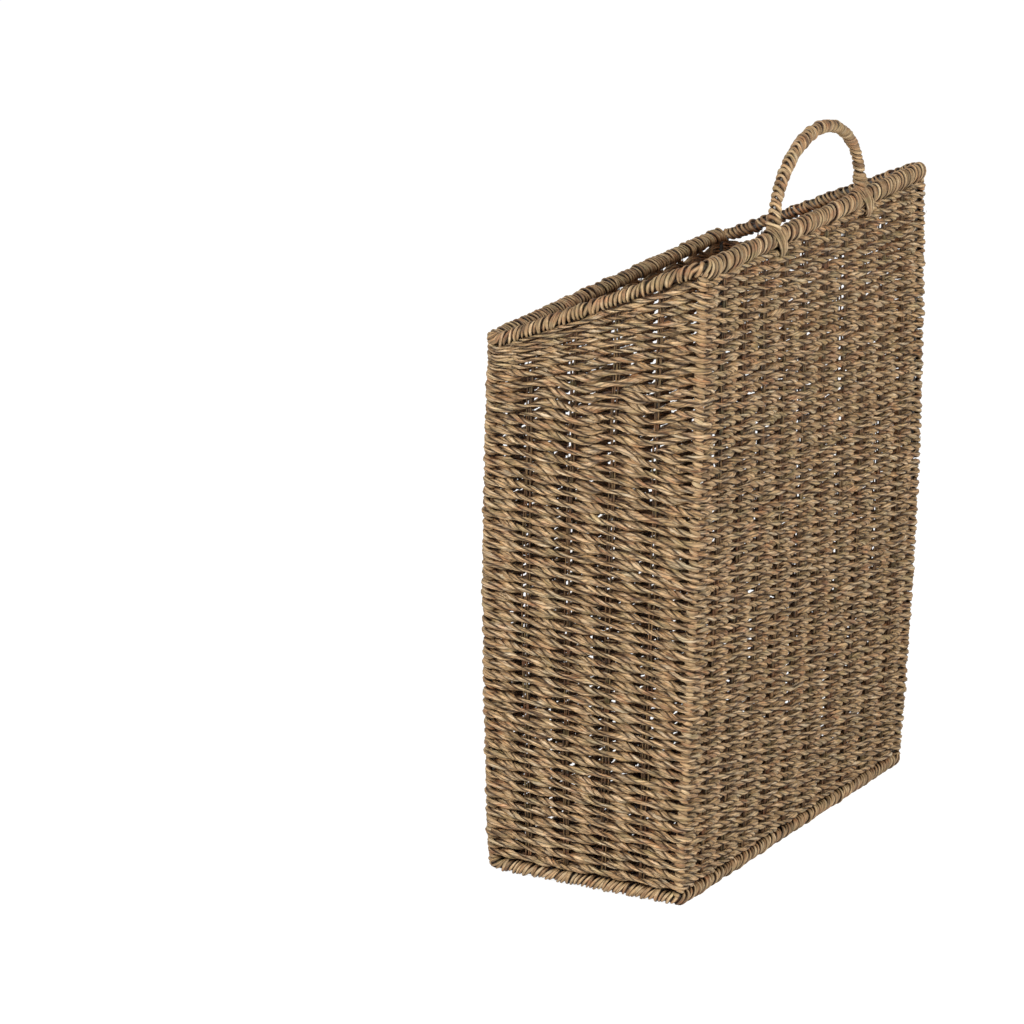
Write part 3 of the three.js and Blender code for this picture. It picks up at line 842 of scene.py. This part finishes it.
def floor_stakes():
    half = BASE_HALF_DEPTH - BASE_INSET - STAKE_TUCK
    y = np.arange(-half, half, STAKE_STEP)
    runs = []
    for node in node_names("floor_stake", WIDE_STAKES):
        low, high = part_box(node)
        middle = (low.x + high.x) / 2
        for strand in range(STAKE_STRANDS):
            seed = FLOOR_STAKE_SEED + int(middle * 10000) + strand - 1
            x = middle + strand_shift(strand) + swing(y, FLOOR_STAKE_SWAY, abs(seed))
            radii = np.full(len(y), STAKE_STRAND_RADIUS)
            runs.append({"points": np.column_stack([x, y, np.full(len(y), BASE_LEVEL)]),
                         "radii": pointed(radii), "number": strand + 6})
    strands("floor_stakes", runs, THIN_PROFILE, STAKE_GRASS,
            node_names("floor_stake", WIDE_STAKES))


def floor_rows():
    """Paired cords across the floor, row by row from the front to the back."""
    half_length = BASE_HALF_WIDTH - BASE_INSET - ROLL_RADIUS
    half_depth = BASE_HALF_DEPTH - BASE_INSET - ROLL_RADIUS
    count = round(2 * half_depth / ROW_PITCH)
    pitch = 2 * half_depth / count
    spacing = 2 * BASE_HALF_WIDTH / (WIDE_STAKES + 1)
    x = np.arange(-half_length, half_length, CORD_STEP)
    out = np.tile((0.0, -1.0, 0.0), (len(x), 1))
    for cord in (0, 1):
        runs = []
        for row in range(count):
            seed = FLOOR_ROW_SEED + 20 * row + 7 * cord
            theta = np.pi * (x / spacing + 0.5 + cord)
            y = -half_depth + (row + 0.5) * pitch + FLOOR_LIFT * np.sin(theta) + swing(x, FLOOR_DRIFT, seed)
            z = BASE_LEVEL + FLOOR_RAISE + FLOOR_REACH * np.cos(theta)
            radii = FLOOR_CORD_SHARE * CORD_RADIUS * (1 + swing(x, FLOOR_SWELL, seed + 2))
            twist = 2 * np.pi * x / CORD_LAY + swing(x, FLOOR_TWIST, seed + 3)
            centre = np.column_stack([x, y, z])
            runs += plies(centre, out, twist, radii, seed, row, x + row * FLOOR_ROW_SHIFT)
        strands(f"floor_cord_{CORD_LETTERS[cord]}", runs, PLY_PROFILE, CORD_GRASS,
                [FLOOR_NODES[cord]])


# Windings

LOOP_STEPS = 18
# Loops lie in pairs, closer by this share, and every third one is higher by that share
PAIR_CLOSENESS = 0.06
LUMP = 0.1
LUMP_LOOPS = 3
PITCH_SPREAD = (0.8, 1.2)
# What is uneven from loop to loop: share, and length counted in loops
LEAN_SWING = (0.75, 1.1)
LUMP_SWING = (0.13, 1.2)
DENT_SWING = (0.04, 0.4)
SWELL_SWING = (0.05, 7.3)
WIDTH_SWING = (0.2, 1.3)
SHIFT_SHARE = 0.2
SHIFT_LENGTH = 0.45
# The strand is wider twice in each loop, a little past the roll's outer face and its inner face
WIDE_SHARE = 0.26
WIDE_ANGLE = 0.6
WRAP_FLATNESS = 0.95
FILLING_DEPTH = 0.9 * MM
FILLING_STEP = 5 * MM
FILLING_LEAST_POINTS = 12


def loop_marks(length, pitch_at, seed):
    """Distances along a line at which loops begin, with a groove after each pair."""
    marks = [0.0]
    rng = np.random.default_rng(SEED + seed)
    while marks[-1] < length:
        pair_share = 1 + PAIR_CLOSENESS * (1 if len(marks) % 2 else -1)
        marks.append(marks[-1] + pitch_at(marks[-1]) * pair_share * rng.uniform(*PITCH_SPREAD))
    return marks


def wound_run(line, pitch_at, width_at, half_out, half_up, lean_at, seed, number=0,
              flatness=WRAP_FLATNESS):
    """A strand wound round a line. Its pitch, its half width, the half sizes of the roll under it and its
    lean are functions of the distance along."""
    centre_at, length = line
    marks = loop_marks(length, pitch_at, seed)
    steps = np.arange((len(marks) - 1) * LOOP_STEPS + 1) / LOOP_STEPS
    angle = 2 * np.pi * steps
    along = np.interp(steps, np.arange(len(marks)), marks)
    along = along - lean_at(along) * np.sin(angle) * (1 + swing(steps, LEAN_SWING, seed + 5))
    along = along + swing(steps, (SHIFT_SHARE * pitch_at(0.0), SHIFT_LENGTH), seed + 6)
    centre, out, up = centre_at(np.clip(along, 0, length))
    size = 1 + LUMP * np.cos(2 * np.pi * steps / LUMP_LOOPS) + swing(steps, LUMP_SWING, seed + 1)
    size = size + swing(steps, DENT_SWING, seed + 2)
    size = size + swing(steps, SWELL_SWING, seed + 4)
    across = (half_out(along) * size)[:, None] * np.cos(angle)[:, None] * out
    above = (half_up(along) * size)[:, None] * np.sin(angle)[:, None] * up
    radial = np.cos(angle)[:, None] * out + np.sin(angle)[:, None] * up
    uneven = 1 + swing(steps, WIDTH_SWING, seed + 3) + WIDE_SHARE * np.cos(2 * angle - WIDE_ANGLE)
    return {"points": centre + across + above, "radii": pointed(width_at(along) * uneven),
            "press": radial, "flatness": flatness, "number": number}


def filling(name, line, half_out, half_up, loop, nodes):
    """The bundle of grass that fills a roll under its winding."""
    centre_at, length = line
    along = np.linspace(0, length, max(int(length / FILLING_STEP), FILLING_LEAST_POINTS))
    along = along[:-1] if loop else along
    centre, out, up = centre_at(along)
    tall = half_up(along) - FILLING_DEPTH
    deep = half_out(along) - FILLING_DEPTH
    run = {"points": centre, "radii": tall if loop else pointed(tall), "loop": loop, "press": out,
           "flatness": deep / tall}
    strands(name, [run], ROUND_PROFILE, FILLING_GRASS, nodes)


def steady(value):
    """A function that gives the same value at each distance along a line."""
    return lambda distance: np.full(np.shape(distance), value)


def line_through(points, out):
    """A function that gives a line's middle and the two ways across it at a distance along, and the
    distances of its points."""
    along = np.concatenate([[0], np.cumsum(np.linalg.norm(np.diff(points, axis=0), axis=1))])
    heading = np.gradient(points, axis=0)
    heading /= np.linalg.norm(heading, axis=1)[:, None]
    out = out / np.linalg.norm(out, axis=1)[:, None]
    up = np.cross(out, heading)

    def centre_at(distance):
        return [np.stack([np.interp(distance, along, table[:, axis]) for axis in range(3)], axis=1)
                for table in (points, out, up)]

    return centre_at, along


PLAN_LINE_POINTS = 1200


def plan_line(inset, height_at):
    """A wire's line round the plan with its length, and the way round at a distance along it."""
    way = np.linspace(0, ROUND, PLAN_LINE_POINTS)
    points = wall_points(way, height_at(way), np.full(len(way), -inset))
    out = np.cross(np.gradient(points, axis=0), (0, 0, 1))
    centre_at, along = line_through(points, out)

    def way_at(distance):
        return np.interp(distance, along, way)

    return (centre_at, along[-1]), way_at


# Rim, foot and corner posts

# A strand's radius, the distance from loop to loop, and how far a loop leans along the roll
RIM_STRAND = 1.3 * MM
BACK_STRAND = 1.45 * MM
RIM_PITCH = 3.9 * MM
BACK_PITCH = 4.3 * MM
RIM_LEAN = 3.3 * MM
BACK_LEAN = 1.0 * MM
RIM_SEED = 4000
# Loops lie closer round a corner by this share
CORNER_CROWDING = 0.3

BASE_STRAND = 1.15 * MM
BASE_PITCH = 3.1 * MM
BASE_LEAN = 3.0 * MM
BASE_SEED = 5000

POST_STRAND = 1.7 * MM
POST_PITCH = 3.8 * MM
POST_HALF = 2.7 * MM
POST_LEAN = 0.8 * MM
POST_FOOT_TUCK = 3 * MM
POST_POINTS = 60
POST_SEED = 5500


def rim_winding():
    line, way_at = plan_line(0.0, rim_height)
    thick = RIM_STRAND * WRAP_FLATNESS

    def half_up(distance):
        return by_wall(way_at(distance), ROLL_RADIUS, BACK_ROLL_HALF) - thick

    def pitch_at(distance):
        way = np.array([way_at(distance)])
        pitch = by_wall(way, RIM_PITCH, BACK_PITCH) * (1 - CORNER_CROWDING * corner_share(way))
        return float(pitch[0])

    def width_at(distance):
        return by_wall(way_at(distance), RIM_STRAND, BACK_STRAND)

    def lean_at(distance):
        return by_wall(way_at(distance), -RIM_LEAN, -BACK_LEAN)

    half_out = steady(ROLL_RADIUS - thick)
    run = wound_run(line, pitch_at, width_at, half_out, half_up, lean_at, RIM_SEED)
    strands("rim_winding", [run], ROUND_PROFILE, WRAP_GRASS, ["rim_wrap"])
    filling("rim_filling", line, half_out, half_up, True, ["rim_wrap"])


def base_winding():
    line, _ = plan_line(BASE_INSET, steady(BASE_LEVEL))
    half_size = steady(ROLL_RADIUS - BASE_STRAND * WRAP_FLATNESS)
    run = wound_run(line, steady(BASE_PITCH), steady(BASE_STRAND), half_size, half_size,
                    steady(-BASE_LEAN), BASE_SEED)
    strands("base_winding", [run], ROUND_PROFILE, WRAP_GRASS, ["base_wrap"])
    filling("base_filling", line, half_size, half_size, True, ["base_wrap"])


def post_windings():
    """A strand wound round each corner post, which fills the corner between the rows."""
    runs = []
    for post, corner in enumerate(CORNER_STEPS):
        way = np.full(POST_POINTS, STAKE_WAYS[corner])
        top = float(rim_height(way)[0]) - STAKE_TUCK
        z = np.linspace(ROW_BOTTOM - POST_FOOT_TUCK, top, POST_POINTS)
        centre_at, along = line_through(wall_points(way, z, np.zeros(len(way))), out_of_wall(way))
        runs.append(wound_run((centre_at, along[-1]), steady(POST_PITCH), steady(POST_STRAND),
                              steady(POST_HALF), steady(POST_HALF), steady(-POST_LEAN),
                              POST_SEED + 20 * post, number=9 + post, flatness=1.0))
    strands("post_windings", runs, THIN_PROFILE, WRAP_GRASS, [])


# Handle

arch_low, arch_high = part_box("handle_wire")
HANDLE_HALF_SPAN = arch_high.x - WIRE_HALF
HANDLE_TOP = arch_high.z - WIRE_HALF
HANDLE_Y = (arch_low.y + arch_high.y) / 2
HANDLE_RISE = 59 * MM
HANDLE_FOOT_LIFT = 3 * MM
LEG_POINTS = 20
ARCH_POINTS = 120
HANDLE_RADIUS = 4.5 * MM
HANDLE_STRAND = 1.85 * MM
HANDLE_PITCH = 4.2 * MM
HANDLE_LEAN = 2.2 * MM
# The winding is thicker over the top of the arch, wanders, and has a knob over each foot
CROWN_SWELL = 0.2
HANDLE_SWING = (0.1, 7 * MM)
KNOB_SWELL = 0.5
KNOB_HEIGHT = 9 * MM
KNOB_LENGTH = 6 * MM
HANDLE_SEED = 6000


def handle_line():
    springing = HANDLE_TOP - HANDLE_RISE
    leg = np.linspace(BACK_HEIGHT + HANDLE_FOOT_LIFT, springing, LEG_POINTS)[:-1]
    turn = np.linspace(math.pi, 0, ARCH_POINTS)
    left = np.column_stack([np.full(len(leg), -HANDLE_HALF_SPAN), leg])
    arch = np.column_stack([HANDLE_HALF_SPAN * np.cos(turn), springing + HANDLE_RISE * np.sin(turn)])
    right = np.column_stack([np.full(len(leg), HANDLE_HALF_SPAN), leg[::-1]])
    flat = np.vstack([left, arch, right])
    points = np.column_stack([flat[:, 0], np.full(len(flat), HANDLE_Y), flat[:, 1]])
    centre_at, along = line_through(points, np.tile((0.0, 1.0, 0.0), (len(points), 1)))
    return centre_at, along[-1]


def handle_winding():
    line = handle_line()
    length = line[1]

    def half_size(distance):
        swell = 1 + CROWN_SWELL * np.cos(2 * np.pi * (distance / length - 0.5))
        swell = swell + swing(distance, HANDLE_SWING, HANDLE_SEED + 10)
        from_foot = np.minimum(distance, length - distance)
        knob = KNOB_SWELL * np.exp(-((from_foot - KNOB_HEIGHT) / KNOB_LENGTH) ** 2)
        return (HANDLE_RADIUS - HANDLE_STRAND * WRAP_FLATNESS) * (swell + knob)

    run = wound_run(line, steady(HANDLE_PITCH), steady(HANDLE_STRAND), half_size, half_size,
                    steady(-HANDLE_LEAN), HANDLE_SEED)
    strands("handle_winding", [run], ROUND_PROFILE, WRAP_GRASS, ["handle_wrap"])
    filling("handle_filling", line, half_size, half_size, False, ["handle_wrap"])


LASHING_STRAND = 1.0 * MM
LASHING_FLATNESS = 0.9
LASHING_POINTS = 48
# Every second loop lies over its neighbours. Shares are of the strand, and lengths are in radians.
LAYER_START = 0.3
LAYER_STEP = 0.25
LAYER_SWING = (0.2, 0.9)
LASHING_SWAY = (0.7 * MM, 0.7)
LASHING_SWELL = (0.25, 1.1)
LASHING_SEED = 6600
# Each loop in millimetres: its top and bottom along the rim from the handle's foot, and over the rim wire
RIM_LOOPS = [(9.5, -6.5, 8.4, -13.0), (7.8, -8.0, 8.8, -14.5), (6.0, -9.2, 9.2, -15.5),
             (4.2, -10.5, 9.6, -16.0), (2.2, -11.5, 9.8, -16.0), (0.2, -12.8, 9.8, -15.5),
             (-2.0, -13.6, 9.4, -14.5), (-4.2, -14.8, 8.8, -13.5)]


def lashing(name, side, node):
    """Loops that slant from the foot of the handle over the rim's roll and through the top rows."""
    turn = np.linspace(-0.5 * math.pi, 1.5 * math.pi, LASHING_POINTS)
    radial = np.column_stack([np.zeros(len(turn)), np.cos(turn), np.sin(turn)])
    runs = []
    for index, (high_shift, low_shift, top, bottom) in enumerate(RIM_LOOPS):
        seed = LASHING_SEED + index + 10 * side
        layer = LAYER_START + LAYER_STEP * (index % 2) + swing(turn, LAYER_SWING, seed + 50)
        across = (ROLL_RADIUS + LASHING_STRAND * layer) * np.cos(turn)
        above = (top + bottom) / 2 * MM + (top - bottom) / 2 * MM * np.sin(turn)
        shift = (high_shift + low_shift) / 2 + (high_shift - low_shift) / 2 * np.sin(turn)
        x = side * HANDLE_HALF_SPAN + shift * MM + swing(turn, LASHING_SWAY, seed)
        radii = LASHING_STRAND * (1 + swing(turn, LASHING_SWELL, seed + 100))
        runs.append({"points": np.column_stack([x, HANDLE_Y + across, BACK_HEIGHT + above]),
                     "radii": pointed(radii), "number": 5 + index, "press": radial,
                     "flatness": LASHING_FLATNESS})
    strands(name, runs, ROUND_PROFILE, WRAP_GRASS, [node])


# Loose ends

FIBRES = 260
FIBRE_POINTS = 6
FIBRE_SEED = 7000
# Heights over the lowest row and under the front rim, and how much higher they reach at the back
FIBRE_FOOT_GAP = 6 * MM
FIBRE_RIM_GAP = 12 * MM
FIBRE_BACK_RISE = 60 * MM
# Least and greatest length, lift and radius in millimetres, and slope
FIBRE_LENGTHS = (5, 16)
FIBRE_LIFTS = (0.4, 2.6)
FIBRE_RADII = (0.18, 0.34)
FIBRE_SLOPES = (-0.9, 0.5)
# How a fibre stands off the rows, arches, droops and thins to its tip
FIBRE_STAND = 1.6 * MM
FIBRE_ARCH = 2.4
FIBRE_DROOP = 1.4
FIBRE_TAPER = 0.7


def loose_fibres():
    """Stray ends of leaf that stand off the rows."""
    rng = np.random.default_rng(SEED + FIBRE_SEED)
    share = np.linspace(0, 1, FIBRE_POINTS)
    runs = []
    for index in range(FIBRES):
        way = rng.uniform(0, ROUND)
        highest = FRONT_HEIGHT - FIBRE_RIM_GAP + FIBRE_BACK_RISE * float(depth_share(np.array([way]))[0])
        z = rng.uniform(ROW_BOTTOM + FIBRE_FOOT_GAP, highest)
        length = rng.uniform(*FIBRE_LENGTHS) * MM
        slope = rng.uniform(*FIBRE_SLOPES)
        lift = rng.uniform(*FIBRE_LIFTS) * MM
        out = PAIR_REACH + FIBRE_STAND + lift * np.sin(share * FIBRE_ARCH)
        points = wall_points(way + length * share, z + slope * length * share ** FIBRE_DROOP, out)
        radii = rng.uniform(*FIBRE_RADII) * MM * (1 - FIBRE_TAPER * share)
        runs.append({"points": points, "radii": pointed(radii), "number": index % THIN_SHIFTS})
    strands("loose_fibres", runs, THIN_PROFILE, WRAP_GRASS, [])


def wire_finish():
    for name in ("rim_wire", "base_wire", "handle_wire", "front_left_post", "front_right_post",
                 "back_left_post", "back_right_post"):
        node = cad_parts[name]
        node.data.materials.clear()
        node.data.materials.append(STEEL_WIRE)


# Studio

# The camera's turn, rise and roll in degrees, its place from the basket, and its lens in millimetres
CAMERA_TURN = 118.4
CAMERA_RISE = 16.6
CAMERA_ROLL = 0.8
CAMERA_DISTANCE = 4.42
CAMERA_SIDE = -145.2 * MM
CAMERA_UP = -0.6 * MM
CAMERA_LENS = 208.3
SENSOR_WIDTH = 36.0
VIEW_REACH = 50.0
AIM_HEIGHT = 240 * MM

# Half the floor's width, how white it is seen, and the world's strength as a light
FLOOR_HALF = 6.0
FLOOR_GLOW = 0.935
WORLD_LIGHT = 0.28
# Soft lamps with their place, width and watts
LAMPS = {"key": ((2.6, -0.7, 1.5), 1.3, 78.0), "side": ((0.9, 2.4, 1.7), 1.5, 86.0)}
LAMP_AIM = Vector((0, 0, 0.25))


def photo_camera():
    turn, rise = math.radians(CAMERA_TURN), math.radians(CAMERA_RISE)
    back = Vector((math.sin(turn) * math.cos(rise), -math.cos(turn) * math.cos(rise), math.sin(rise)))
    right = (-back).cross(Vector((0, 0, 1))).normalized()
    up = right.cross(-back)
    roll = Matrix.Rotation(math.radians(CAMERA_ROLL), 3, back)
    right, up = roll @ right, roll @ up
    data = bpy.data.cameras.new("photo_camera")
    data.lens = CAMERA_LENS
    data.sensor_width = SENSOR_WIDTH
    data.clip_end = VIEW_REACH
    camera = bpy.data.objects.new("photo_camera", data)
    bpy.context.scene.collection.objects.link(camera)
    place = Vector((0, 0, AIM_HEIGHT)) + back * CAMERA_DISTANCE + right * CAMERA_SIDE + up * CAMERA_UP
    camera.matrix_world = Matrix.Translation(place) @ Matrix((right, up, back)).transposed().to_4x4()
    bpy.context.scene.camera = camera


def seen_share(tree):
    """1 for what is seen directly, in a gloss or through glass, and 0 for what only gives light."""
    path = add_node(tree, "ShaderNodeLightPath")
    glossy = add_node(tree, "ShaderNodeMath", {"operation": "MAXIMUM"},
                      links={0: path.outputs["Is Camera Ray"], 1: path.outputs["Is Glossy Ray"]})
    return add_node(tree, "ShaderNodeMath", {"operation": "MAXIMUM"},
                    links={0: glossy.outputs[0], 1: path.outputs["Is Transmission Ray"]})


def white_board():
    """Matt white board: it lights the basket as it is, and is seen as white with a faint shadow."""
    material, tree, _ = new_material("white_floor")
    tree.nodes.clear()
    output = add_node(tree, "ShaderNodeOutputMaterial")
    board = add_node(tree, "ShaderNodeBsdfDiffuse", {}, {"Color": linear("#f4f4f4")})
    shadow = add_node(tree, "ShaderNodeBsdfDiffuse", {}, {"Color": linear("#808080")})
    white = add_node(tree, "ShaderNodeEmission", {}, {"Color": (1, 1, 1, 1), "Strength": FLOOR_GLOW})
    seen_board = add_node(tree, "ShaderNodeAddShader", links={0: shadow.outputs[0], 1: white.outputs[0]})
    mixed = add_node(tree, "ShaderNodeMixShader", links={
        0: seen_share(tree).outputs[0], 1: board.outputs[0], 2: seen_board.outputs[0]})
    tree.links.new(mixed.outputs[0], output.inputs["Surface"])
    return material


def studio_floor():
    body = bmesh.new()
    bmesh.ops.create_grid(body, x_segments=1, y_segments=1, size=FLOOR_HALF)
    mesh = bpy.data.meshes.new("floor")
    body.to_mesh(mesh)
    body.free()
    mesh.materials.append(white_board())
    floor = bpy.data.objects.new("floor", mesh)
    bpy.context.scene.collection.objects.link(floor)


def studio_world():
    world = bpy.data.worlds.new("studio")
    bpy.context.scene.world = world
    world.use_nodes = True
    tree = world.node_tree
    background = tree.nodes["Background"]
    strength = add_node(tree, "ShaderNodeMapRange", inputs={"To Min": WORLD_LIGHT, "To Max": 1.0},
                        links={"Value": seen_share(tree).outputs[0]})
    background.inputs["Color"].default_value = (1, 1, 1, 1)
    tree.links.new(strength.outputs[0], background.inputs["Strength"])


def soft_lamp(name, place, width, power):
    data = bpy.data.lights.new(name, "AREA")
    data.shape = "SQUARE"
    data.size = width
    data.energy = power
    lamp = bpy.data.objects.new(name, data)
    bpy.context.scene.collection.objects.link(lamp)
    lamp.location = place
    lamp.rotation_mode = "QUATERNION"
    lamp.rotation_quaternion = (LAMP_AIM - Vector(place)).to_track_quat("-Z", "Y")


photo_camera()
studio_floor()
studio_world()
for lamp_name, setting in LAMPS.items():
    soft_lamp(lamp_name, *setting)
bpy.context.scene.view_settings.view_transform = "Standard"

level_rows()
fan_rows()
for wall_name, wall_corner, wall_count in zip(WALLS, CORNER_STEPS, WALL_STAKES):
    wall_stakes(wall_name, wall_corner, wall_count)
post_windings()
floor_stakes()
floor_rows()
rim_winding()
base_winding()
handle_winding()
lashing("left_lashing", -1, "left_handle_lashing")
lashing("right_lashing", 1, "right_handle_lashing")
loose_fibres()
wire_finish()
for section in (PLY_PROFILE, THIN_PROFILE, ROUND_PROFILE):
    bpy.data.objects.remove(section)
